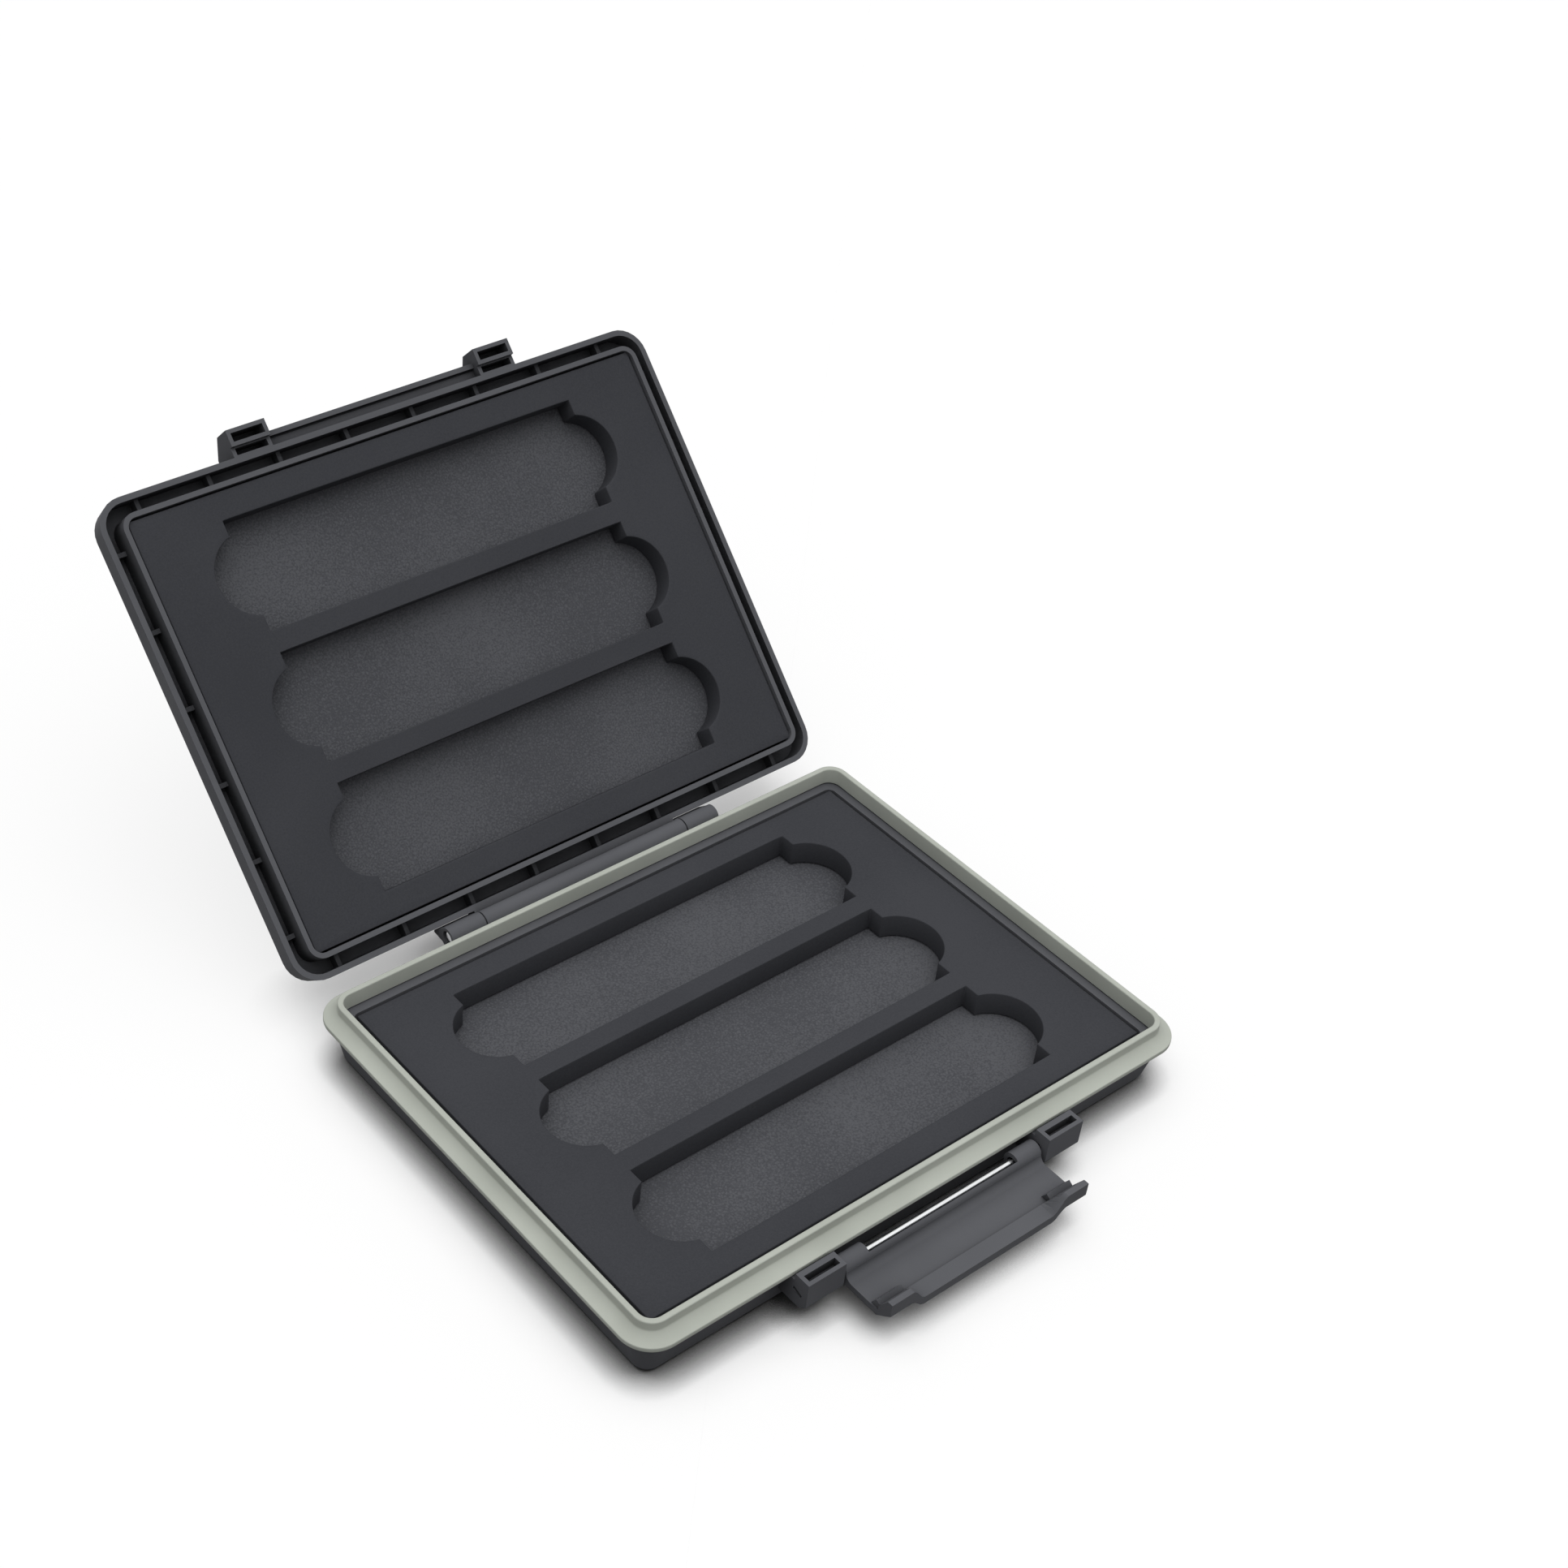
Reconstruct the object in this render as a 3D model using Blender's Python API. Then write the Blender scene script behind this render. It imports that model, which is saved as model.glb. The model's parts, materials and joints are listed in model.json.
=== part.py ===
"""Hinged storage case for solid-state drive cards.

The case is shown open: the base stands on the floor, the lid leans back on
its hinge, and the snap latch is folded out in front. Lengths are metres, +Z
is up, +X runs along the hinge, and the origin lies on the floor under the
middle of the base. The latch is on the -Y side and the hinge on the +Y side.

Heights of the lid's pieces are worked out for the closed case. The lid's
empty stands on the hinge axis and turns them into the open position.
"""

import math

import bmesh
import bpy
from mathutils import Matrix

# Card slots, the same in the base and in the lid
SLOT_LENGTH = 0.0800
SLOT_WIDTH = 0.0220
SLOT_PITCH = 0.0263
SLOT_COUNT = 3
FINGER_RADIUS = 0.0080
FINGER_INSET = 0.0020

# Foam pieces
FOAM_END_MARGIN = 0.0175
FOAM_SIDE_MARGIN = 0.0053
FOAM_CORNER = 0.0008
BASE_FOAM_THICKNESS = 0.0052
BASE_BACKING_THICKNESS = 0.0028
LID_FOAM_THICKNESS = 0.0051
LID_BACKING_THICKNESS = 0.0005

# Clearances between pieces
SEAT_GAP = 0.0003
BASE_FOAM_FIT = 0.0008
LID_FOAM_FIT = 0.0004
PIN_FIT = 0.0003

# One overrun serves all cuts, and one overlap all joined pieces
OVERRUN = 0.0030
OVERLAP = 0.0004

# Rim: widths are measured inwards from the outline of the seal's flange
RIM_WIDTH = 0.00545
FLANGE_CORNER = 0.0064
FLANGE_THICKNESS = 0.0010
FLANGE_PROJECTION = 0.0012
LIP_THICKNESS = 0.00115
LIP_HEIGHT = 0.00316
LIP_GAP = 0.0003
LIP_ROOT_HEIGHT = 0.00125
SEAL_STEP_WIDTH = 0.0022

# Base shell
BASE_FLOOR = 0.0020
BASE_RIM_DROP = 0.0002
BASE_RIM_STEP = 0.00064
BASE_SIDE_INSET = 0.0016
BASE_DRAFT = 0.00195
BASE_CHAMFER = 0.0012
BASE_CAVITY_CORNER = 0.0014

# Lid shell
LID_RIM_RISE = 0.0019
LID_WALL = 0.00115
LID_CORNER = 0.0058
LID_DRAFT = 0.00045
LID_CHAMFER_WIDTH = 0.00265
LID_CHAMFER_HEIGHT = 0.0024
LID_INNER_WALL = 0.0010
LID_INNER_WALL_DROP = 0.00145
LID_INNER_CORNER = 0.0030
LID_FOAM_DROP = 0.00084
LID_ROOF = 0.0020
CHANNEL_ROOF = 0.0030
RIB_THICKNESS = 0.0009
RIB_RECESS = 0.0020
RIB_PITCH = 0.01515
RIBS_ALONG_LENGTH = 8
RIBS_ALONG_WIDTH = 6

# Relief on the lid's outer face
PANEL_BORDER = 0.0020
PANEL_RECESS = 0.0011
PANEL_SIDE_SLOPE = 0.0011
BAND_SHOULDER = 0.0035
BAND_RECESS = 0.0002
BAND_CORNER = 0.0010
BAND_EDGE = 0.0019
BAND_SLOPE = 0.0015

# Hinge
HINGE_OFFSET = 0.0012
HINGE_RISE = 0.0005
HINGE_BARREL_RADIUS = 0.00205
HINGE_LENGTH = 0.0648
HINGE_END_KNUCKLE = 0.0078
HINGE_KNUCKLE_GAP = 0.0003
HINGE_END_WALL = 0.0015
HINGE_PIN_RADIUS = 0.0011
HINGE_PIN_RECESS = 0.0004
HINGE_WEB_REACH = 0.0014
HINGE_WEB_RISE = 0.0030
HINGE_WEB_DEPTH = 0.0044
HINGE_EAR_REACH = 0.0043
HINGE_EAR_GAP = 0.0002
HINGE_EAR_HEIGHT = 0.0005
HINGE_EAR_ROOT_REACH = 0.0015
HINGE_EAR_ROOT_DROP = 0.0020
HINGE_WEB_SLOPE_REACH = 0.0011
HINGE_WEB_SLOPE_RISE = 0.0016
HINGE_EAR_START = math.radians(30)
LID_OPEN_ANGLE = math.radians(134.8)

# Latch
LATCH_OFFSET = 0.0016
LATCH_DROP = 0.0030
LATCH_WIDTH = 0.0462
LATCH_BARREL_RADIUS = 0.0019
LATCH_PIN_RADIUS = 0.00075
LATCH_BLADE_THICKNESS = 0.0014
LATCH_BLADE_OUTER = 0.0027
LATCH_REACH = 0.0128
LATCH_BEND = 0.0097
LATCH_FILLET = 0.0016
LATCH_HEEL = 0.0006
LATCH_HEEL_DEPTH = 0.0009
LATCH_HEEL_CHAMFER = 0.0007
LATCH_WINDOW_END = 0.0055
LATCH_WINDOW_FRONT = 0.00128
LATCH_WINDOW_FLOOR = 0.0011
LATCH_TAB_WIDTH = 0.0049
LATCH_TAB_SLOPE = 0.0030
LATCH_MID_TOP = 0.0006
LATCH_MID_UNDER = 0.0024
LATCH_TAB_TOP = 0.0026
LATCH_TAB_UNDER = 0.00025
LATCH_TAB_TIP = 0.0011
LATCH_TAB_NOTCH = 0.0003
TOOTH_WIDTH = 0.0056
TOOTH_SIDE_INSET = 0.0003
TOOTH_START = 0.0080
TOOTH_PEAK = 0.0090
TOOTH_END = 0.0099
TOOTH_HEIGHT = 0.0016
TOOTH_FALL = 0.0006

# Lugs beside the latch
LUG_CLEARANCE = 0.0008
LUG_LENGTH = 0.0084
LUG_FRONT = 0.0040
LUG_GAP = 0.0007
LUG_WALL = 0.0008
LUG_BACK_WALL = 0.0011
BASE_LUG_RISE = 0.0007
BASE_LUG_DROP = 0.0062
BASE_LUG_CHAMFER = 0.0014
BASE_LUG_POCKET_DEPTH = 0.0019
LID_LUG_DROP = 0.0009
LID_LUG_TOP_DROP = 0.00013
LID_LUG_CHAMFER = 0.0036
LID_LUG_POCKET_DEPTH = 0.0036
PIN_SLIT_LENGTH = 0.0022
PIN_SLIT_WIDTH = 0.0007
PIN_SLIT_DEPTH = 0.0009
PIN_SLIT_TILT = math.radians(20)

# Catch rail on the lid between its lugs
RAIL_REACH = 0.0018
RAIL_TOP_RISE = 0.0034
RAIL_THICKNESS = 0.0012
RAIL_LIP_HEIGHT = 0.0009
RAIL_LIP_WIDTH = 0.0010
RAIL_GROOVE_WIDTH = 0.00035
RAIL_GROOVE_DEPTH = 0.0005

# Facets on round shapes
CORNER_STEPS = 7
FINGER_STEPS = 14
ROUND_SIDES = 32
EASE_STEPS = 4

# Plan sizes
SLOT_ROW = SLOT_PITCH * (SLOT_COUNT - 1) + SLOT_WIDTH
FOAM_LENGTH = SLOT_LENGTH + 2 * FOAM_END_MARGIN
FOAM_WIDTH = SLOT_ROW + 2 * FOAM_SIDE_MARGIN
FLANGE_LENGTH = FOAM_LENGTH + 2 * (BASE_FOAM_FIT + RIM_WIDTH)
FLANGE_WIDTH = FOAM_WIDTH + 2 * (BASE_FOAM_FIT + RIM_WIDTH)
LIP_OUTER_INSET = FLANGE_PROJECTION + LID_WALL + LIP_GAP
LIP_INNER_INSET = LIP_OUTER_INSET + LIP_THICKNESS
LID_CAVITY_INSET = RIM_WIDTH + BASE_FOAM_FIT - LID_FOAM_FIT
INNER_WALL_INSET = LID_CAVITY_INSET - LID_INNER_WALL
LID_FACE_INSET = FLANGE_PROJECTION + LID_DRAFT + LID_CHAMFER_WIDTH
BAND_REACH = (FLANGE_LENGTH - FLANGE_WIDTH) / 2 + BAND_SHOULDER

# Heights over the floor, for the closed case
BACKING_BOTTOM = BASE_FLOOR + SEAT_GAP
BACKING_TOP = BACKING_BOTTOM + BASE_BACKING_THICKNESS
BASE_FOAM_BOTTOM = BACKING_TOP + SEAT_GAP
BASE_FOAM_TOP = BASE_FOAM_BOTTOM + BASE_FOAM_THICKNESS
BASE_RIM = BASE_FOAM_TOP - BASE_RIM_DROP
BASE_SHOULDER = BASE_RIM - BASE_RIM_STEP
FLANGE_BOTTOM = BASE_SHOULDER + SEAT_GAP
FLANGE_TOP = FLANGE_BOTTOM + FLANGE_THICKNESS
SEAL_BOTTOM = BASE_RIM + SEAT_GAP
LIP_TOP = FLANGE_TOP + LIP_HEIGHT
LID_RIM = BASE_FOAM_TOP + LID_RIM_RISE
LID_FOAM_BOTTOM = LID_RIM - LID_FOAM_DROP
LID_FOAM_TOP = LID_FOAM_BOTTOM + LID_FOAM_THICKNESS
LID_BACKING_BOTTOM = LID_FOAM_TOP + SEAT_GAP
LID_BACKING_TOP = LID_BACKING_BOTTOM + LID_BACKING_THICKNESS
LID_CEILING = LID_BACKING_TOP + SEAT_GAP
LID_FACE = LID_CEILING + LID_ROOF
LID_SKIRT_TOP = LID_FACE - LID_CHAMFER_HEIGHT
CHANNEL_CEILING = LID_FACE - CHANNEL_ROOF

# Places along the latch's pin
LUG_INNER_SIDE = LATCH_WIDTH / 2 + LUG_CLEARANCE
LUG_OUTER_SIDE = LUG_INNER_SIDE + LUG_LENGTH
LATCH_PIN_END = LUG_OUTER_SIDE - LUG_WALL - SEAT_GAP

# Axes of the two joints
HINGE_Y = FLANGE_WIDTH / 2 + HINGE_OFFSET
HINGE_Z = BASE_FOAM_TOP + HINGE_RISE
LATCH_Y = -FLANGE_WIDTH / 2 - LATCH_OFFSET
LATCH_Z = BASE_FOAM_TOP - LATCH_DROP


def clear_scene():
    """Remove the objects and meshes that a new file starts with."""
    for item in list(bpy.data.objects):
        bpy.data.objects.remove(item, do_unlink=True)


def make_collection(name):
    collection = bpy.data.collections.new(name)
    bpy.context.scene.collection.children.link(collection)
    return collection


def hex_colour(text):
    """Turn an sRGB hex colour into the linear colour that a shader takes."""
    channels = [int(text[i:i + 2], 16) / 255 for i in (0, 2, 4)]
    linear = [c / 12.92 if c <= 0.04045 else ((c + 0.055) / 1.055) ** 2.4 for c in channels]
    return (*linear, 1.0)


def make_material(name, colour, roughness, metallic=0.0):
    material = bpy.data.materials.new(name)
    material.use_nodes = True
    shader = material.node_tree.nodes["Principled BSDF"]
    shader.inputs["Base Color"].default_value = hex_colour(colour)
    shader.inputs["Roughness"].default_value = roughness
    shader.inputs["Metallic"].default_value = metallic
    material.diffuse_color = hex_colour(colour)
    return material


def new_object(name, mesh, collection):
    item = bpy.data.objects.new(name, mesh)
    collection.objects.link(item)
    return item


def as_tool(item):
    """Mark an object as one that only shapes others."""
    item.hide_render = True
    item.display_type = "WIRE"
    return item


def combine(target, tool, operation):
    modifier = target.modifiers.new(tool.name, "BOOLEAN")
    modifier.operation = operation
    modifier.solver = "EXACT"
    modifier.object = as_tool(tool)


def join(target, *tools):
    for tool in tools:
        combine(target, tool, "UNION")


def cut(target, *tools):
    for tool in tools:
        combine(target, tool, "DIFFERENCE")


def smooth(item, angle=math.radians(30)):
    """Shade round stretches smooth and keep the other edges sharp."""
    item.data.shade_smooth()
    item.data.set_sharp_from_angle(angle=angle)


def arc(centre_x, centre_y, radius, start, end, steps):
    """Points along an arc, both ends included."""
    turns = [start + (end - start) * i / steps for i in range(steps + 1)]
    return [(centre_x + radius * math.cos(t), centre_y + radius * math.sin(t)) for t in turns]


def rounded_rectangle(length, width, corner):
    """Outline of a rectangle with round corners, centred on the origin."""
    x = length / 2 - corner
    y = width / 2 - corner
    quarter = math.pi / 2
    corners = [(x, -y, -quarter), (x, y, 0), (-x, y, quarter), (-x, -y, 2 * quarter)]
    outline = []
    for corner_x, corner_y, start in corners:
        outline += arc(corner_x, corner_y, corner, start, start + quarter, CORNER_STEPS)
    return outline


def rim_outline(inset, corner):
    """Rounded rectangle that lies a given inset inside the seal's flange."""
    return rounded_rectangle(FLANGE_LENGTH - 2 * inset, FLANGE_WIDTH - 2 * inset, corner)


def slot_outline(centre_y):
    """A card slot with a finger hole bulging out of each end."""
    end = SLOT_LENGTH / 2
    side = SLOT_WIDTH / 2
    centre = end - FINGER_INSET
    spread = math.acos(FINGER_INSET / FINGER_RADIUS)
    outline = [(-end, centre_y - side), (end, centre_y - side)]
    outline += arc(centre, centre_y, FINGER_RADIUS, -spread, spread, FINGER_STEPS)
    outline += [(end, centre_y + side), (-end, centre_y + side)]
    outline += arc(-centre, centre_y, FINGER_RADIUS, math.pi - spread, math.pi + spread, FINGER_STEPS)
    return outline


def slot_centres():
    return [(i - (SLOT_COUNT - 1) / 2) * SLOT_PITCH for i in range(SLOT_COUNT)]


def curve_to_mesh(curve_item, collection):
    """Replace a filled curve by a mesh object with welded caps."""
    bpy.context.view_layer.update()
    graph = bpy.context.evaluated_depsgraph_get()
    mesh = bpy.data.meshes.new_from_object(curve_item.evaluated_get(graph))
    name = curve_item.name
    matrix = curve_item.matrix_world.copy()
    bpy.data.objects.remove(curve_item, do_unlink=True)
    shape = bmesh.new()
    shape.from_mesh(mesh)
    bmesh.ops.remove_doubles(shape, verts=shape.verts, dist=1e-6)
    bmesh.ops.recalc_face_normals(shape, faces=shape.faces)
    shape.to_mesh(mesh)
    shape.free()
    item = new_object(name, mesh, collection)
    item.matrix_world = matrix
    return item


def extruded(name, outlines, thickness, matrix, collection):
    """A flat outline, with any holes, given a thickness along its normal."""
    curve = bpy.data.curves.new(name, "CURVE")
    curve.dimensions = "2D"
    curve.fill_mode = "BOTH"
    curve.extrude = thickness / 2
    for outline in outlines:
        spline = curve.splines.new("POLY")
        spline.points.add(len(outline) - 1)
        for point, (x, y) in zip(spline.points, outline):
            point.co = (x, y, 0, 1)
        spline.use_cyclic_u = True
    item = new_object(name, curve, collection)
    item.matrix_world = matrix
    return curve_to_mesh(item, collection)


def plate(name, outlines, low, high, collection):
    """Outlines in plan, extruded from one height to another."""
    matrix = Matrix.Translation((0, 0, (low + high) / 2))
    return extruded(name, outlines, high - low, matrix, collection)


def prism(name, profile, start, end, collection):
    """A profile of (y, z) points, extruded along X."""
    turn = Matrix.Rotation(math.pi / 2, 4, "Z") @ Matrix.Rotation(math.pi / 2, 4, "X")
    matrix = Matrix.Translation(((start + end) / 2, 0, 0)) @ turn
    return extruded(name, [profile], end - start, matrix, collection)


def loft(name, rings, collection, closed=False):
    """A skin over rings of equal point count, capped unless it closes on itself."""
    shape = bmesh.new()
    rows = [[shape.verts.new(point) for point in ring] for ring in rings]
    pairs = list(zip(rows, rows[1:]))
    if closed:
        pairs.append((rows[-1], rows[0]))
    else:
        shape.faces.new(rows[0])
        shape.faces.new(rows[-1])
    for lower, upper in pairs:
        for i in range(len(lower)):
            j = (i + 1) % len(lower)
            shape.faces.new((lower[i], lower[j], upper[j], upper[i]))
    bmesh.ops.recalc_face_normals(shape, faces=shape.faces)
    mesh = bpy.data.meshes.new(name)
    shape.to_mesh(mesh)
    shape.free()
    return new_object(name, mesh, collection)


def rim_loft(name, levels, corner, corner_inset, collection, closed=False):
    """A loft through rim outlines, given as (inset, height) levels."""
    rings = []
    for inset, height in levels:
        outline = rim_outline(inset, corner - (inset - corner_inset))
        rings.append([(x, y, height) for x, y in outline])
    return loft(name, rings, collection, closed)


def boxes(name, spans, collection):
    """One mesh of boxes that stand apart, each given by its three spans."""
    shape = bmesh.new()
    for spans_xyz in spans:
        middle = [(low + high) / 2 for low, high in spans_xyz]
        size = [high - low for low, high in spans_xyz]
        matrix = Matrix.Translation(middle) @ Matrix.Diagonal((*size, 1))
        bmesh.ops.create_cube(shape, size=1, matrix=matrix)
    mesh = bpy.data.meshes.new(name)
    shape.to_mesh(mesh)
    shape.free()
    return new_object(name, mesh, collection)


def rod(name, radius, start, end, y, z, collection):
    """A round bar along X, modelled about its own axis."""
    shape = bmesh.new()
    bmesh.ops.create_cone(
        shape, cap_ends=True, segments=ROUND_SIDES,
        radius1=radius, radius2=radius, depth=end - start,
        matrix=Matrix.Rotation(math.pi / 2, 4, "Y"))
    mesh = bpy.data.meshes.new(name)
    shape.to_mesh(mesh)
    shape.free()
    item = new_object(name, mesh, collection)
    item.location = ((start + end) / 2, y, z)
    return item


def finish(item, material):
    item.data.materials.append(material)
    smooth(item)
    return item


def hang(items, empty):
    """Parent objects to an empty without moving them."""
    bpy.context.view_layer.update()
    for item in items:
        item.parent = empty
        item.matrix_parent_inverse = empty.matrix_world.inverted()


def make_empty(name, location, collection):
    empty = bpy.data.objects.new(name, None)
    empty.empty_display_size = FLANGE_CORNER
    empty.location = location
    collection.objects.link(empty)
    return empty


def base_lug_profile():
    """Side view of a lug that carries the latch pin."""
    wall = -FLANGE_WIDTH / 2 + BASE_SIDE_INSET + BASE_DRAFT + OVERLAP
    back = -FLANGE_WIDTH / 2 - LUG_GAP
    front = -FLANGE_WIDTH / 2 - LUG_FRONT
    top = BASE_FOAM_TOP + BASE_LUG_RISE
    bottom = BASE_FOAM_TOP - BASE_LUG_DROP
    return [
        (wall, BASE_SHOULDER),
        (back, BASE_SHOULDER),
        (back, top),
        (front, top),
        (front, bottom + BASE_LUG_CHAMFER),
        (front + BASE_LUG_CHAMFER, bottom),
        (wall, bottom),
    ]


def base_lugs(tools):
    """The two lugs, left and right of the latch."""
    profile = base_lug_profile()
    left = prism("left_base_lug", profile, -LUG_OUTER_SIDE, -LUG_INNER_SIDE, tools)
    right = prism("right_base_lug", profile, LUG_INNER_SIDE, LUG_OUTER_SIDE, tools)
    return left, right


def lug_pocket_spans(back, front, low, high):
    """The same pocket in the left and the right lug."""
    near = LUG_INNER_SIDE + LUG_WALL
    far = LUG_OUTER_SIDE - LUG_WALL
    rest = ((front, back), (low, high))
    return [((-far, -near), *rest), ((near, far), *rest)]


def base_lug_pockets(tools):
    back = -FLANGE_WIDTH / 2 - LUG_GAP - LUG_BACK_WALL
    front = -FLANGE_WIDTH / 2 - LUG_FRONT + LUG_WALL
    top = BASE_FOAM_TOP + BASE_LUG_RISE
    spans = lug_pocket_spans(back, front, top - BASE_LUG_POCKET_DEPTH, top + OVERRUN)
    return boxes("base_lug_pockets", spans, tools)


def pin_slit(tools):
    """The short slot over the pin's end, on the left lug's outer side."""
    spans = [(
        (-OVERRUN, PIN_SLIT_DEPTH),
        (-PIN_SLIT_LENGTH / 2, PIN_SLIT_LENGTH / 2),
        (-PIN_SLIT_WIDTH / 2, PIN_SLIT_WIDTH / 2),
    )]
    slit = boxes("pin_slit", spans, tools)
    slit.location = (-LUG_OUTER_SIDE, LATCH_Y, LATCH_Z)
    slit.rotation_euler = (PIN_SLIT_TILT, 0, 0)
    return slit


def base_knuckle_profile():
    """Side view of an end knuckle with its web and the ear behind it.

    The ear is the lid's stop. Its tip stands HINGE_EAR_GAP clear of the outer
    wall of the open lid.
    """
    wall = FLANGE_WIDTH / 2 - BASE_SIDE_INSET - BASE_DRAFT - OVERLAP
    dip = math.asin((HINGE_Z - BASE_SHOULDER) / HINGE_BARREL_RADIUS)
    ear = HINGE_Y + HINGE_EAR_REACH
    stop = HINGE_OFFSET + FLANGE_PROJECTION - HINGE_EAR_GAP
    ear_rise = (stop + HINGE_EAR_REACH * math.cos(LID_OPEN_ANGLE)) / math.sin(LID_OPEN_ANGLE)
    ear_top = HINGE_Z + ear_rise
    slope = HINGE_Y - HINGE_WEB_SLOPE_REACH
    bottom = BASE_SHOULDER - HINGE_WEB_DEPTH
    barrel = arc(HINGE_Y, HINGE_Z, HINGE_BARREL_RADIUS, math.pi + dip, HINGE_EAR_START, ROUND_SIDES // 2)
    return [(wall, BASE_SHOULDER)] + barrel + [
        (ear, ear_top),
        (ear, ear_top - HINGE_EAR_HEIGHT),
        (HINGE_Y + HINGE_EAR_ROOT_REACH, HINGE_Z - HINGE_EAR_ROOT_DROP),
        (slope, bottom + HINGE_WEB_SLOPE_RISE),
        (wall, bottom),
    ]


def base_knuckles(tools):
    """The two end knuckles, which hold the pin."""
    far = HINGE_LENGTH / 2
    near = far - HINGE_END_KNUCKLE
    profile = base_knuckle_profile()
    left = prism("left_knuckle", profile, -far, -near, tools)
    right = prism("right_knuckle", profile, near, far, tools)
    return left, right


def make_base_shell(parts, tools, material):
    low_inset = BASE_SIDE_INSET + BASE_DRAFT
    levels = [
        (low_inset + BASE_CHAMFER, 0),
        (low_inset, BASE_CHAMFER),
        (BASE_SIDE_INSET, BASE_SHOULDER),
    ]
    shell = rim_loft("base_shell", levels, FLANGE_CORNER, 0, parts)
    step_inset = SEAL_STEP_WIDTH + SEAT_GAP
    step = rim_outline(step_inset, FLANGE_CORNER - step_inset)
    join(shell, plate("base_rim", [step], BASE_SHOULDER - OVERLAP, BASE_RIM, tools))
    cavity = rim_outline(RIM_WIDTH, BASE_CAVITY_CORNER)
    cut(shell, plate("base_cavity", [cavity], BASE_FLOOR, BASE_RIM + OVERRUN, tools))
    join(shell, *base_lugs(tools), *base_knuckles(tools))
    bore_end = HINGE_LENGTH / 2 - HINGE_END_WALL
    hinge_bore = HINGE_PIN_RADIUS + PIN_FIT
    latch_bore = LATCH_PIN_RADIUS + PIN_FIT
    latch_bore_end = LATCH_PIN_END + SEAT_GAP
    cut(
        shell,
        rod("base_hinge_bore", hinge_bore, -HINGE_LENGTH / 2 - OVERRUN, bore_end, HINGE_Y, HINGE_Z, tools),
        rod("base_latch_bore", latch_bore, -latch_bore_end, latch_bore_end, LATCH_Y, LATCH_Z, tools),
        base_lug_pockets(tools),
        pin_slit(tools))
    return finish(shell, material)


def make_seal_ring(parts, tools, material):
    """Soft ring: a flat flange, a hollow flare and an upright lip."""
    levels = [
        (0, FLANGE_BOTTOM),
        (SEAL_STEP_WIDTH, FLANGE_BOTTOM),
        (SEAL_STEP_WIDTH, SEAL_BOTTOM),
        (LIP_INNER_INSET, SEAL_BOTTOM),
        (LIP_INNER_INSET, LIP_TOP),
        (LIP_OUTER_INSET, LIP_TOP),
    ]
    flare_steps = EASE_STEPS
    for i in range(flare_steps + 1):
        share = i / flare_steps
        inset = LIP_OUTER_INSET * (1 - share)
        levels.append((inset, FLANGE_TOP + LIP_ROOT_HEIGHT * (1 - share) ** 2))
    ring = rim_loft("seal_ring", levels, FLANGE_CORNER, 0, parts, closed=True)
    relief = HINGE_Y - HINGE_BARREL_RADIUS - SEAT_GAP
    end = HINGE_LENGTH / 2 + SEAT_GAP
    span = ((-end, end), (relief, HINGE_Y + OVERRUN), (FLANGE_BOTTOM - OVERRUN, LIP_TOP + OVERRUN))
    cut(ring, boxes("hinge_relief", [span], tools))
    return finish(ring, material)


def foam_outline():
    return rounded_rectangle(FOAM_LENGTH, FOAM_WIDTH, FOAM_CORNER)


def slotted_foam(name, low, high, parts, material):
    outlines = [foam_outline()] + [slot_outline(y) for y in slot_centres()]
    return finish(plate(name, outlines, low, high, parts), material)


def plain_foam(name, low, high, parts, material):
    return finish(plate(name, [foam_outline()], low, high, parts), material)


def rib_bars(tools):
    """Bars right across the lid, of which the seal channel keeps its ribs."""
    low = LID_RIM + RIB_RECESS
    high = CHANNEL_CEILING + OVERLAP
    wall = FLANGE_PROJECTION + LID_WALL - OVERLAP
    half_length = FLANGE_LENGTH / 2 - wall
    half_width = FLANGE_WIDTH / 2 - wall
    half = RIB_THICKNESS / 2
    across = [(i - (RIBS_ALONG_LENGTH - 1) / 2) * RIB_PITCH for i in range(RIBS_ALONG_LENGTH)]
    along = [(i - (RIBS_ALONG_WIDTH - 1) / 2) * RIB_PITCH for i in range(RIBS_ALONG_WIDTH)]
    across_spans = [((x - half, x + half), (-half_width, half_width), (low, high)) for x in across]
    along_spans = [((-half_length, half_length), (y - half, y + half), (low, high)) for y in along]
    return boxes("ribs_across", across_spans, tools), boxes("ribs_along", along_spans, tools)


def panel_field(name, side, tools):
    """Cutter for one three-cornered field of the lid's face.

    The field fills a corner of the framed panel outside the diagonal band and
    its edge. Its floor is set in from the mouth by a slope along each side.
    """
    rings = []
    overrun_share = OVERRUN / PANEL_RECESS
    for share in (-1, overrun_share):
        border = LID_FACE_INSET + PANEL_BORDER - PANEL_SIDE_SLOPE * share
        x = FLANGE_LENGTH / 2 - border
        y = FLANGE_WIDTH / 2 - border
        band = BAND_REACH + (BAND_EDGE - BAND_SLOPE * share) * math.sqrt(2)
        height = LID_FACE + PANEL_RECESS * share
        corners = [(x, y), (band - y, y), (x, band - x)]
        rings.append([(side * px, side * py, height) for px, py in corners])
    return loft(name, rings, tools)


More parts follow.
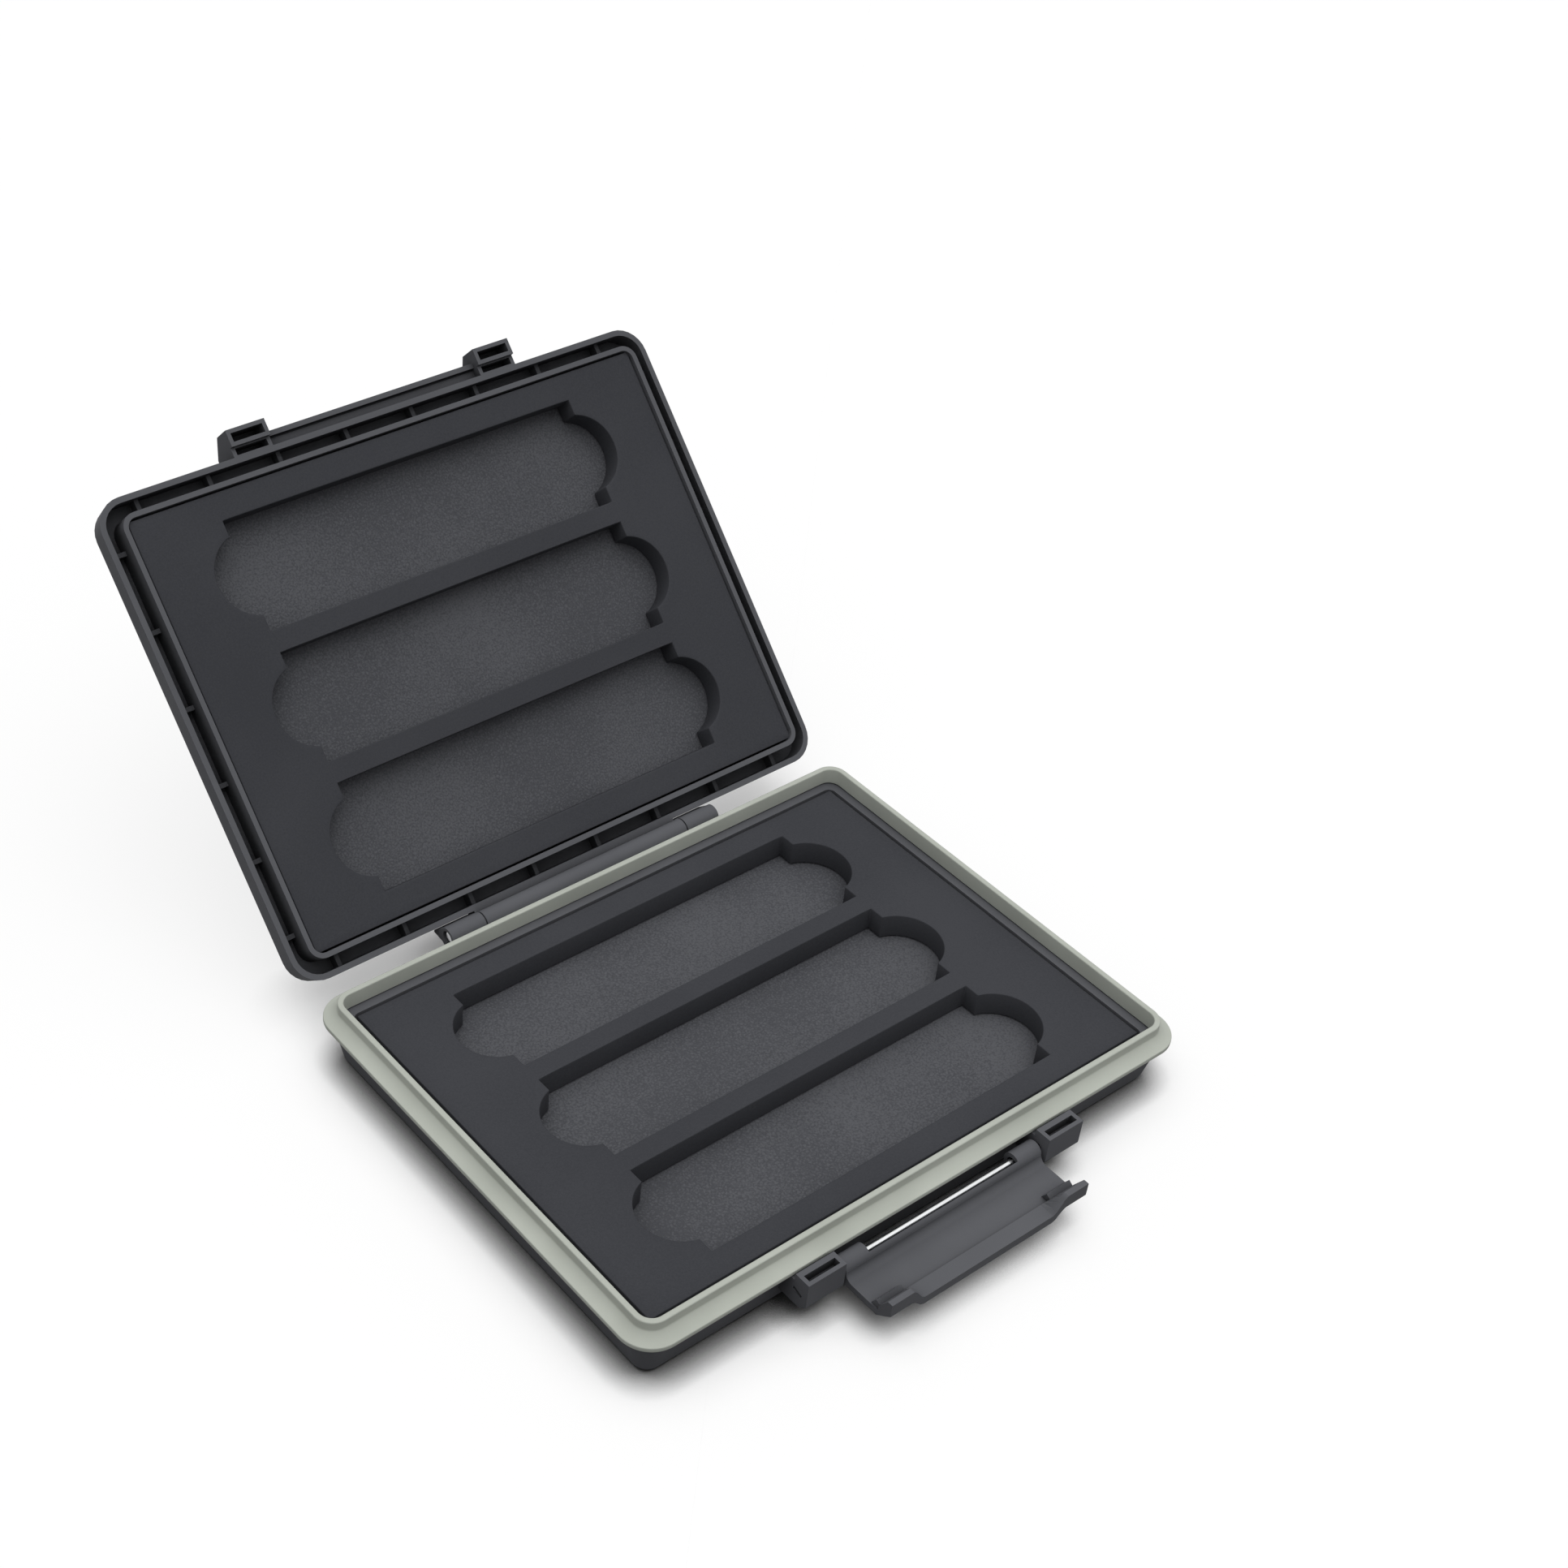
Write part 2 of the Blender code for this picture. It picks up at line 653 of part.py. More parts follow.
def band_field(tools):
    """Cutter for the shallow panel that is sunk into the diagonal band.

    The band runs at 45 degrees. Its edges cross the face's long axis one reach
    from the middle, so they always pass the panel's corners by the shoulder.
    """
    x = FLANGE_LENGTH / 2 - LID_FACE_INSET - PANEL_BORDER
    y = FLANGE_WIDTH / 2 - LID_FACE_INSET - PANEL_BORDER
    corner = arc(BAND_CORNER - x, y - BAND_CORNER, BAND_CORNER, math.pi / 2, math.pi, CORNER_STEPS)
    half = [(x, BAND_REACH - x), (BAND_REACH - y, y)] + corner
    outline = half + [(-px, -py) for px, py in half]
    return plate("band_field", [outline], LID_FACE - BAND_RECESS, LID_FACE + OVERRUN, tools)


def lid_lug_profile():
    """Side view of a lug of the lid, which closes on the base's lug."""
    edge = -FLANGE_WIDTH / 2
    wall = edge + FLANGE_PROJECTION + OVERLAP
    back = edge - LUG_GAP
    front = edge - LUG_FRONT
    top = LID_FACE - LID_LUG_TOP_DROP
    return [
        (wall, LID_RIM),
        (wall, CHANNEL_CEILING + OVERLAP),
        (edge + LID_FACE_INSET, top),
        (front + LID_LUG_CHAMFER, top),
        (front, top - LID_LUG_CHAMFER),
        (front, LID_RIM - LID_LUG_DROP),
        (back, LID_RIM - LID_LUG_DROP),
        (back, LID_RIM),
    ]


def lid_lugs(tools):
    profile = lid_lug_profile()
    left = prism("left_lid_lug", profile, -LUG_OUTER_SIDE, -LUG_INNER_SIDE, tools)
    right = prism("right_lid_lug", profile, LUG_INNER_SIDE, LUG_OUTER_SIDE, tools)
    return left, right


def lid_lug_pockets(tools):
    """Two pockets in each lug, one in its front frame and one behind it."""
    edge = -FLANGE_WIDTH / 2
    low = LID_RIM - OVERRUN
    high = LID_RIM + LID_LUG_POCKET_DEPTH
    front = lug_pocket_spans(edge - LUG_GAP - LUG_WALL, edge - LUG_FRONT + LUG_WALL, low, high)
    back = lug_pocket_spans(edge + FLANGE_PROJECTION - SEAT_GAP, edge - LUG_GAP + SEAT_GAP, low, high)
    return boxes("lid_lug_pockets", front + back, tools)


def catch_rail_profile():
    """Side view of the rail that the latch's teeth snap over."""
    wall = -FLANGE_WIDTH / 2 + FLANGE_PROJECTION + OVERLAP
    front = -FLANGE_WIDTH / 2 - RAIL_REACH
    top = LID_RIM + RAIL_TOP_RISE
    under = top - RAIL_THICKNESS
    lip = front + RAIL_LIP_WIDTH
    groove = lip + RAIL_GROOVE_WIDTH
    return [
        (wall, top),
        (front, top),
        (front, under - RAIL_LIP_HEIGHT),
        (lip, under - RAIL_LIP_HEIGHT),
        (lip, under + RAIL_GROOVE_DEPTH),
        (groove, under + RAIL_GROOVE_DEPTH),
        (groove, under),
        (wall, under),
    ]


def lid_knuckle(tools):
    """The long middle knuckle with the web that joins it to the lid."""
    half = HINGE_LENGTH / 2 - HINGE_END_KNUCKLE - HINGE_KNUCKLE_GAP
    wall = FLANGE_WIDTH / 2 - FLANGE_PROJECTION - OVERLAP
    start = math.pi - math.asin((LID_RIM - HINGE_Z) / HINGE_BARREL_RADIUS)
    end = 2 * math.pi + math.acos(HINGE_WEB_REACH / HINGE_BARREL_RADIUS)
    barrel = arc(HINGE_Y, HINGE_Z, HINGE_BARREL_RADIUS, start, end, ROUND_SIDES)
    top = LID_RIM + HINGE_WEB_RISE
    profile = [(wall, top), (wall, LID_RIM)] + barrel + [(HINGE_Y + HINGE_WEB_REACH, top)]
    return prism("lid_knuckle", profile, -half, half, tools)


def lid_body(parts):
    """The lid's outer shape, from rim to face."""
    levels = [
        (FLANGE_PROJECTION, LID_RIM),
        (FLANGE_PROJECTION + LID_DRAFT, LID_SKIRT_TOP),
        (LID_FACE_INSET, LID_FACE),
    ]
    return rim_loft("lid_shell", levels, LID_CORNER, FLANGE_PROJECTION, parts)


def make_lid_shell(parts, tools, material):
    shell = lid_body(parts)
    wall_inset = FLANGE_PROJECTION + LID_WALL
    channel = rim_outline(wall_inset, LID_CORNER - LID_WALL)
    cut(shell, plate("seal_channel", [channel], LID_RIM - OVERRUN, CHANNEL_CEILING, tools))
    inner = rim_outline(INNER_WALL_INSET, LID_INNER_CORNER)
    inner_rim = LID_RIM - LID_INNER_WALL_DROP
    join(shell, plate("inner_wall", [inner], inner_rim, CHANNEL_CEILING + OVERLAP, tools))
    join(shell, *rib_bars(tools))
    cavity = rim_outline(LID_CAVITY_INSET, LID_INNER_CORNER - LID_INNER_WALL)
    cut(shell, plate("lid_cavity", [cavity], inner_rim - OVERRUN, LID_CEILING, tools))
    rail_end = LUG_INNER_SIDE + OVERLAP
    rail = prism("catch_rail", catch_rail_profile(), -rail_end, rail_end, tools)
    join(shell, *lid_lugs(tools), rail, lid_knuckle(tools))
    bore_end = HINGE_LENGTH / 2
    bore = HINGE_PIN_RADIUS + PIN_FIT
    cut(
        shell,
        lid_lug_pockets(tools),
        rod("lid_hinge_bore", bore, -bore_end, bore_end, HINGE_Y, HINGE_Z, tools),
        band_field(tools),
        panel_field("upper_field", 1, tools),
        panel_field("lower_field", -1, tools))
    return finish(shell, material)


def latch_section(x, tab_share):
    """Cross-section of the blade at x, for a share of tab shape.

    The points are first given as reach and rise from the pin's axis: reach
    runs out from the case and rise upwards, as the open latch lies.
    """
    inner = LATCH_BLADE_THICKNESS - LATCH_BLADE_OUTER
    root = LATCH_BARREL_RADIUS
    mid = [
        (LATCH_BEND, inner),
        (LATCH_BEND, -LATCH_MID_TOP),
        (LATCH_REACH - LATCH_TAB_TIP, -LATCH_MID_TOP),
        (LATCH_REACH, -LATCH_MID_TOP),
        (LATCH_REACH, -LATCH_MID_UNDER),
    ]
    tab = [
        (TOOTH_END, inner),
        (TOOTH_END, -LATCH_TAB_NOTCH),
        (LATCH_REACH - LATCH_TAB_TIP, LATCH_TAB_TOP),
        (LATCH_REACH, LATCH_TAB_TOP),
        (LATCH_REACH, -LATCH_TAB_UNDER),
    ]
    fillet = arc(
        root + LATCH_FILLET, inner + LATCH_FILLET, LATCH_FILLET,
        math.pi, 1.5 * math.pi, CORNER_STEPS)
    heel = -LATCH_HEEL - LATCH_HEEL_DEPTH
    points = [
        (-LATCH_HEEL, -LATCH_BLADE_OUTER),
        (heel, LATCH_HEEL_CHAMFER - LATCH_BLADE_OUTER),
        (heel, -root / 2),
        (0, root / 2),
    ] + fillet
    for (mid_reach, mid_rise), (tab_reach, tab_rise) in zip(mid, tab):
        reach = mid_reach + (tab_reach - mid_reach) * tab_share
        rise = mid_rise + (tab_rise - mid_rise) * tab_share
        points.append((reach, rise))
    points.append((LATCH_BEND, -LATCH_BLADE_OUTER))
    return [(x, LATCH_Y - reach, LATCH_Z + rise) for reach, rise in points]


def latch_blade(parts):
    """The blade: straight in the middle, with a finger tab at either end."""
    half = LATCH_WIDTH / 2
    mid = half - LATCH_TAB_WIDTH - LATCH_TAB_SLOPE
    stations = [(half, 1)]
    for i in range(EASE_STEPS + 1):
        share = i / EASE_STEPS
        eased = share * share * (3 - 2 * share)
        stations.append((mid + LATCH_TAB_SLOPE * (1 - share), 1 - eased))
    mirrored = [(-x, share) for x, share in stations]
    rings = [latch_section(x, share) for x, share in mirrored + stations[::-1]]
    return loft("latch", rings, parts)


def latch_teeth(tools):
    """The two teeth that snap over the rail, one behind each tab."""
    inner = LATCH_Z + LATCH_BLADE_THICKNESS - LATCH_BLADE_OUTER
    profile = [
        (LATCH_Y - TOOTH_START, inner - OVERLAP),
        (LATCH_Y - TOOTH_START, inner),
        (LATCH_Y - TOOTH_PEAK, inner + TOOTH_HEIGHT),
        (LATCH_Y - TOOTH_END, inner + TOOTH_HEIGHT - TOOTH_FALL),
        (LATCH_Y - TOOTH_END, inner - OVERLAP),
    ]
    outer_side = LATCH_WIDTH / 2 - TOOTH_SIDE_INSET
    inner_side = outer_side - TOOTH_WIDTH
    left = prism("left_tooth", profile, -outer_side, -inner_side, tools)
    right = prism("right_tooth", profile, inner_side, outer_side, tools)
    return left, right


def make_latch(parts, tools, material):
    latch = latch_blade(parts)
    half = LATCH_WIDTH / 2
    barrel = rod("latch_barrel", LATCH_BARREL_RADIUS, -half, half, LATCH_Y, LATCH_Z, tools)
    join(latch, barrel, *latch_teeth(tools))
    window_half = half - LATCH_WINDOW_END
    window = (
        (-window_half, window_half),
        (LATCH_Y - LATCH_WINDOW_FRONT, LATCH_Y + LATCH_BARREL_RADIUS + OVERRUN),
        (LATCH_Z - LATCH_WINDOW_FLOOR, LATCH_Z + LATCH_BARREL_RADIUS + OVERRUN),
    )
    bore = LATCH_PIN_RADIUS + PIN_FIT
    cut(
        latch,
        boxes("latch_window", [window], tools),
        rod("latch_bore", bore, -half - OVERRUN, half + OVERRUN, LATCH_Y, LATCH_Z, tools))
    return finish(latch, material)


def make_pins(parts, steel):
    hinge_start = -HINGE_LENGTH / 2 + HINGE_PIN_RECESS
    hinge_end = HINGE_LENGTH / 2 - HINGE_END_WALL - SEAT_GAP
    hinge_pin = rod("hinge_pin", HINGE_PIN_RADIUS, hinge_start, hinge_end, HINGE_Y, HINGE_Z, parts)
    latch_pin = rod("latch_pin", LATCH_PIN_RADIUS, -LATCH_PIN_END, LATCH_PIN_END, LATCH_Y, LATCH_Z, parts)
    return finish(hinge_pin, steel), finish(latch_pin, steel)


def make_base(parts, tools, materials):
    make_base_shell(parts, tools, materials["plastic"])
    make_seal_ring(parts, tools, materials["seal"])
    slotted_foam("base_foam", BASE_FOAM_BOTTOM, BASE_FOAM_TOP, parts, materials["foam"])
    plain_foam("base_foam_backing", BACKING_BOTTOM, BACKING_TOP, parts, materials["backing"])
    make_pins(parts, materials["steel"])


def make_lid(parts, tools, materials):
    """The lid's pieces, hung on the hinge axis and turned open."""
    before = set(bpy.data.objects)
    make_lid_shell(parts, tools, materials["plastic"])
    slotted_foam("lid_foam", LID_FOAM_BOTTOM, LID_FOAM_TOP, parts, materials["foam"])
    plain_foam("lid_foam_backing", LID_BACKING_BOTTOM, LID_BACKING_TOP, parts, materials["backing"])
    pieces = set(bpy.data.objects) - before
    axis = make_empty("lid_hinge_axis", (0, HINGE_Y, HINGE_Z), parts)
    hang(sorted(pieces, key=lambda item: item.name), axis)
    axis.rotation_euler = (-LID_OPEN_ANGLE, 0, 0)


def make_latch_assembly(parts, tools, materials):
    """The latch, hung on its pin's axis as it lies folded out."""
    before = set(bpy.data.objects)
    make_latch(parts, tools, materials["plastic"])
    pieces = set(bpy.data.objects) - before
    axis = make_empty("latch_hinge_axis", (0, LATCH_Y, LATCH_Z), parts)
    hang(sorted(pieces, key=lambda item: item.name), axis)


def main():
    clear_scene()
    parts = make_collection("hard_drive_case")
    tools = make_collection("cutters")
    materials = {
        "plastic": make_material("charcoal_plastic", "4a4b4f", 0.55),
        "seal": make_material("grey_green_rubber", "a9ada4", 0.7),
        "foam": make_material("dark_foam", "3b3c40", 0.95),
        "backing": make_material("grained_foam", "505255", 0.95),
        "steel": make_material("bright_steel", "c9ccd0", 0.2, 1.0),
    }
    make_base(parts, tools, materials)
    make_lid(parts, tools, materials)
    make_latch_assembly(parts, tools, materials)
    bpy.context.view_layer.update()


main()
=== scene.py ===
"""Looks of a hinged case for solid-state drive cards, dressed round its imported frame.

The sections follow the case as it is put together: base shell, seal, foam,
lid, pins and latch, and last the floor, the lamps and the camera. Sizes are
in millimetres, and become metres through MM. The case stands open.
"""

import json
import math

import bmesh
import bpy
import numpy as np
from mathutils import Matrix, Vector


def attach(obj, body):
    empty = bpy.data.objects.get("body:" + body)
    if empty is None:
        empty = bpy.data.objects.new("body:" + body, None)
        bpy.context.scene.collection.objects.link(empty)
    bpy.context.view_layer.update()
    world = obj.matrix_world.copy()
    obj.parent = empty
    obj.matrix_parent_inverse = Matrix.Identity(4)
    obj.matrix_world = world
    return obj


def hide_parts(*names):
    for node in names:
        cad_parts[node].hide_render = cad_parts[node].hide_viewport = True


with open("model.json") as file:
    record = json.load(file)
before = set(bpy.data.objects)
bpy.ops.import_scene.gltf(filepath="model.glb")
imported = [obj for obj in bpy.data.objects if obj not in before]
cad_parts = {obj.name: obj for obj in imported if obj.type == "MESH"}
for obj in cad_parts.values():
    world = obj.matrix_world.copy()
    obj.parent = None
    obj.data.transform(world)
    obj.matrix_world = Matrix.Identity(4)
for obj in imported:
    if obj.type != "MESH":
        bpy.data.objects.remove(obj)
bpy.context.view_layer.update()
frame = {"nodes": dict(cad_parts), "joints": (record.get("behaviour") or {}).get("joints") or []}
nodes = frame["nodes"]
MM = 0.001


# Base shell: the tray with its latch lugs and outer hinge knuckles, one piece.
# Injection-moulded ABS, dyed charcoal through and through. The mould was
# spark-eroded, so the plastic is satin, with very fine even pits.

def linear(hex_colour):
    """sRGB hex to the linear RGBA that a shader takes."""
    channels = [int(hex_colour[i:i + 2], 16) / 255 for i in (1, 3, 5)]
    return (*[c / 12.92 if c <= 0.04045 else ((c + 0.055) / 1.055) ** 2.4 for c in channels], 1.0)


def fill_in(tree, node, inputs):
    """Set inputs of a node, each to a value, an output, or a node's first output."""
    for key, value in inputs.items():
        if isinstance(value, bpy.types.Node):
            value = value.outputs[0]
        if isinstance(value, bpy.types.NodeSocket):
            tree.links.new(value, node.inputs[key])
        else:
            node.inputs[key].default_value = value


def add_node(tree, kind, inputs, **settings):
    """Add a node, set its properties, and set or link its inputs."""
    node = tree.nodes.new(kind)
    for key, value in settings.items():
        setattr(node, key, value)
    fill_in(tree, node, inputs)
    return node


def new_material(name):
    """An empty material: itself, its tree, its Principled shader, object coordinates."""
    material = bpy.data.materials.new(name)
    material.use_nodes = True
    tree = material.node_tree
    place = add_node(tree, "ShaderNodeTexCoord", {}).outputs["Object"]
    return material, tree, tree.nodes["Principled BSDF"], place


def moulded_abs(name, grain=None):
    """Charcoal ABS from a spark-eroded mould.

    The pits are 0.35 mm apart, a little coarser than real ones so that they
    show, and give a soft sparkle. Slow changes over 22 mm come from handling.
    Where the piece's own walls close a place in, within 4 mm, painted shade
    darkens the colour, down to 0.15 of itself, because the lamps alone leave
    the narrow channels and pockets paler than they look. A grain function adds
    its relief on top of the pits.
    """
    material, tree, shader, place = new_material(name)
    handling_mm, pit_mm, pit_depth_mm, wall_mm = 22, 0.35, 0.02, 4
    inputs = {"Vector": place, "Scale": 1 / (handling_mm * MM), "Detail": 4.0}
    handled = add_node(tree, "ShaderNodeTexNoise", inputs)
    share = add_node(tree, "ShaderNodeMapRange", {"Value": handled, **MOST_NOISE})
    inputs = {"Fac": share, "Color1": linear("#5a5b5f"), "Color2": linear("#606165")}
    colour = add_node(tree, "ShaderNodeMixRGB", inputs)
    # Painted shade: occlusion within 4 mm darkens the colour in channels and pockets.
    inputs = {"Distance": wall_mm * MM}
    openness = add_node(tree, "ShaderNodeAmbientOcclusion", inputs, samples=3, only_local=True)
    inputs = {"Value": openness.outputs["AO"], "From Min": 0.15, "From Max": 0.9, "To Min": 0.15}
    shade = add_node(tree, "ShaderNodeMapRange", inputs)
    inputs = {"Fac": 1.0, "Color1": colour, "Color2": shade}
    shaded = add_node(tree, "ShaderNodeMixRGB", inputs, blend_type="MULTIPLY")
    inputs = {"Value": handled, **MOST_NOISE, "To Min": 0.57, "To Max": 0.69}
    roughness = add_node(tree, "ShaderNodeMapRange", inputs)
    inputs = {"Vector": place, "Scale": 1 / (pit_mm * MM), "Detail": 3.0}
    pits = add_node(tree, "ShaderNodeTexNoise", inputs)
    inputs = {"Height": pits, "Distance": pit_depth_mm * MM, "Strength": 0.5}
    relief = add_node(tree, "ShaderNodeBump", inputs)
    if grain:
        relief = grain(tree, place, relief)
    inputs = {"Base Color": shaded, "Roughness": roughness, "Specular IOR Level": 0.05, "Normal": relief}
    fill_in(tree, shader, inputs)
    return material


def dress(node_name, material, edge_mm):
    """Give a CAD node its material and round its edges by a mould's small radius.

    Triangles that lie within a degree of each other are first made one face.
    """
    merge_mm, flat_deg, corner_deg, face_weight = 0.002, 1, 28, 80
    node = nodes[node_name]
    node.data.materials.clear()
    node.data.materials.append(material)
    weld = node.modifiers.new("weld", "WELD")
    weld.merge_threshold = merge_mm * MM
    flat = node.modifiers.new("flat", "DECIMATE")
    flat.decimate_type = "DISSOLVE"
    flat.angle_limit = math.radians(flat_deg)
    round_edges(node, edge_mm, 2, corner_deg)
    shading = node.modifiers.new("shading", "WEIGHTED_NORMAL")
    shading.weight = face_weight


def round_edges(piece, edge_mm, segments, corner_deg):
    """Round the edges whose faces meet at more than corner_deg."""
    rounding = piece.modifiers.new("rounding", "BEVEL")
    rounding.width = edge_mm * MM
    rounding.segments = segments
    rounding.limit_method = "ANGLE"
    rounding.angle_limit = math.radians(corner_deg)


# A noise node's values lie mostly in this span, which a Map Range stretches to 0 to 1.
MOST_NOISE = {"From Min": 0.3, "From Max": 0.7}

charcoal_abs = moulded_abs("charcoal_abs")
dress("base_shell", charcoal_abs, 0.1)


# Seal ring: clipped round the tray's rim, with a flat flange all round and an
# upright lip that fills the lid's channel. Grey-green thermoplastic rubber,
# matt and a little waxy, moulded with soft edges.

def grid_faces(rows, columns, rows_close=False, columns_close=True):
    """Quads of a grid of points, closed in either direction, as an index array."""
    index = np.arange(rows * columns).reshape(rows, columns)
    if rows_close:
        index = np.vstack([index, index[:1]])
    if columns_close:
        index = np.hstack([index, index[:, :1]])
    corners = (index[:-1, :-1], index[:-1, 1:], index[1:, 1:], index[1:, :-1])
    return np.stack(corners, axis=-1).reshape(-1, 4)


def mesh_piece(name, points, faces, material):
    """A new object from arrays of points in millimetres and quads."""
    sharp_deg = 40
    mesh = bpy.data.meshes.new(name)
    mesh.from_pydata((points.reshape(-1, 3) * MM).tolist(), [], faces.tolist())
    mesh.materials.append(material)
    mesh.shade_smooth()
    mesh.set_sharp_from_angle(angle=math.radians(sharp_deg))
    piece = bpy.data.objects.new(name, mesh)
    bpy.context.scene.collection.objects.link(piece)
    return piece


def eased_corners(profile, steps):
    """Round the corners of a closed profile of (inset, height, radius) rows.

    Each corner becomes a quadratic curve that starts and ends its radius away,
    or 0.45 of the side's length away where the side is short.
    """
    most = 0.45
    rows = np.array(profile, float)
    here, radius = rows[:, :2], rows[:, 2:]
    before, after = np.roll(here, 1, axis=0) - here, np.roll(here, -1, axis=0) - here
    start = here + before * np.minimum(radius / np.linalg.norm(before, axis=1, keepdims=True), most)
    end = here + after * np.minimum(radius / np.linalg.norm(after, axis=1, keepdims=True), most)
    t = np.linspace(0, 1, steps + 1)[None, :, None]
    curve = (1 - t) ** 2 * start[:, None] + 2 * t * (1 - t) * here[:, None] + t ** 2 * end[:, None]
    keep = np.repeat(radius[:, 0] > 0, steps + 1)
    keep[::steps + 1] = True
    return curve.reshape(-1, 2)[keep]


def rim_loop(inset):
    """Loop that lies inset inside the flange's outline, anticlockwise.

    The corners are quarter circles about fixed centres, so their radius
    shrinks by the inset. The flange steps back for the hinge at +Y.
    """
    length, width, corner = 127.5, 97.7, 6.4
    relief_half, relief_y, step = 32.7, 47.7, 0.2
    corner_points, side_points, relief_points = 15, 20, 40
    x, y = length / 2 - corner, width / 2 - corner
    radius = corner - inset
    turn = np.linspace(0, math.pi / 2, corner_points)
    side = np.linspace(x, relief_half + step, side_points)[1:]
    back = np.r_[side, np.linspace(relief_half, -relief_half, relief_points), -side[::-1]]
    arcs = []
    for k, (centre_x, centre_y) in enumerate([(x, -y), (x, y), (-x, y), (-x, -y)]):
        angle = turn + (k - 1) * math.pi / 2
        across, along = centre_x + radius * np.cos(angle), centre_y + radius * np.sin(angle)
        arcs.append(np.column_stack([across, along]))
    straight = np.column_stack([back, np.full(len(back), y + radius)])
    loop = np.vstack([arcs[0], arcs[1], straight, arcs[2], arcs[3]])
    in_relief = (np.abs(loop[:, 0]) <= relief_half) & (loop[:, 1] > relief_y)
    loop[in_relief, 1] = relief_y
    return loop


def seal_profile():
    """Cross-section of the ring, as (inset, height) points.

    From the lip's foot a flare runs out to the edge; its height over the edge
    falls with the square of the way from the foot.
    """
    under, step, edge_top, lip_top = 10.06, 10.7, 11.06, 14.22
    step_inset, lip_outer, lip_inner, flare_rise = 2.2, 2.65, 3.8, 1.25
    share = np.linspace(1, 0, 9)[1:-1]
    flare = np.column_stack([lip_outer * share, edge_top + flare_rise * share ** 2, 0 * share])
    corners = [
        (0, under, 0.25),
        (step_inset, under, 0),
        (step_inset, step, 0),
        (lip_inner, step, 0.15),
        (lip_inner, lip_top, 0.3),
        (lip_outer, lip_top, 0.3),
        (lip_outer, edge_top + flare_rise, 0.25),
    ]
    return eased_corners(np.vstack([corners, flare, [(0, edge_top, 0.35)]]), 4)


def carried(path, profile):
    """Points of a profile carried round a path: row i is the loop at inset i."""
    loops = [path(inset) for inset, _ in profile]
    heights = [np.full((len(loop), 1), height) for loop, (_, height) in zip(loops, profile)]
    return np.stack([np.hstack(pair) for pair in zip(loops, heights)])


def moulded_rubber():
    """Grey-green thermoplastic rubber, matt, with a faint waxy sheen.

    Specks 0.5 mm across and slow tone changes over 15 mm keep it from looking flat.
    """
    material, tree, shader, place = new_material("grey_green_rubber")
    tone_mm, speck_mm, speck_depth_mm = 15, 0.5, 0.015
    inputs = {"Vector": place, "Scale": 1 / (tone_mm * MM), "Detail": 3.0}
    tone = add_node(tree, "ShaderNodeTexNoise", inputs)
    share = add_node(tree, "ShaderNodeMapRange", {"Value": tone, **MOST_NOISE})
    inputs = {"Fac": share, "Color1": linear("#aeb2a9"), "Color2": linear("#b8bcb3")}
    colour = add_node(tree, "ShaderNodeMixRGB", inputs)
    inputs = {"Value": tone, **MOST_NOISE, "To Min": 0.6, "To Max": 0.7}
    roughness = add_node(tree, "ShaderNodeMapRange", inputs)
    inputs = {"Vector": place, "Scale": 1 / (speck_mm * MM), "Detail": 3.0}
    specks = add_node(tree, "ShaderNodeTexNoise", inputs)
    inputs = {"Height": specks, "Distance": speck_depth_mm * MM, "Strength": 0.5}
    relief = add_node(tree, "ShaderNodeBump", inputs)
    inputs = {"Base Color": colour, "Roughness": roughness, "Normal": relief}
    fill_in(tree, shader, {**inputs, "Specular IOR Level": 0.2, "Sheen Weight": 0.05})
    return material


seal_points = carried(rim_loop, seal_profile())
seal_faces = grid_faces(*seal_points.shape[:2], rows_close=True)[:, ::-1]
seal_ring = mesh_piece("soft_seal_ring", seal_points, seal_faces, moulded_rubber())
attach(seal_ring, "base")
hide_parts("seal_ring")


# Base foam: a sheet of cross-linked EVA foam, die-cut with three card slots.
# Each slot has a round finger hole at both ends. The foam is matt with very
# small closed cells, and its cut edges are a little soft.

def slot_loop(centre_y):
    """Outline of a card slot as points, and how many lie on its ends and sides.

    The long sides are straight; each end is a shoulder, a finger arc and a
    second shoulder. The points run anticlockwise: right, top, left, bottom.
    """
    end, side, radius, centre = 40.0, 11.0, 8.0, 38.0
    finger_points, shoulder_points, side_points = 41, 4, 42
    spread = math.acos((end - centre) / radius)
    mouth = radius * math.sin(spread)
    turn = np.linspace(-spread, spread, finger_points)
    finger = np.column_stack([centre + radius * np.cos(turn), radius * np.sin(turn)])
    before, after = np.linspace(-side, -mouth, shoulder_points), np.linspace(mouth, side, shoulder_points)
    low = np.column_stack([np.full(shoulder_points - 1, end), before[:-1]])
    high = np.column_stack([np.full(shoulder_points - 1, end), after[1:]])
    right = np.vstack([low, finger, high])
    straight = np.linspace(end, -end, side_points)[1:-1]
    top = np.column_stack([straight, np.full(len(straight), side)])
    outline = np.vstack([right, top, -right, -top])
    return outline + [0, centre_y], len(right), len(top)


def slot_cell(centre_y, low_y, high_y, half_length):
    """Flat grid between a slot's outline and the border of its cell of the sheet.

    A row is outline * (1 - t) + border * t. The rows crowd towards the slot,
    because t is a power of the row's share.
    """
    rows, crowding = 6, 1.5
    outline, ends, sides = slot_loop(centre_y)
    up = np.linspace(low_y, high_y, ends)
    along = np.linspace(half_length, -half_length, sides + 2)[1:-1]
    right = np.column_stack([np.full(ends, half_length), up])
    top = np.column_stack([along, np.full(sides, high_y)])
    left = np.column_stack([np.full(ends, -half_length), up[::-1]])
    bottom = np.column_stack([-along, np.full(sides, low_y)])
    border = np.vstack([right, top, left, bottom])
    t = np.linspace(0, 1, rows)[:, None, None] ** crowding
    return outline * (1 - t) + border * t


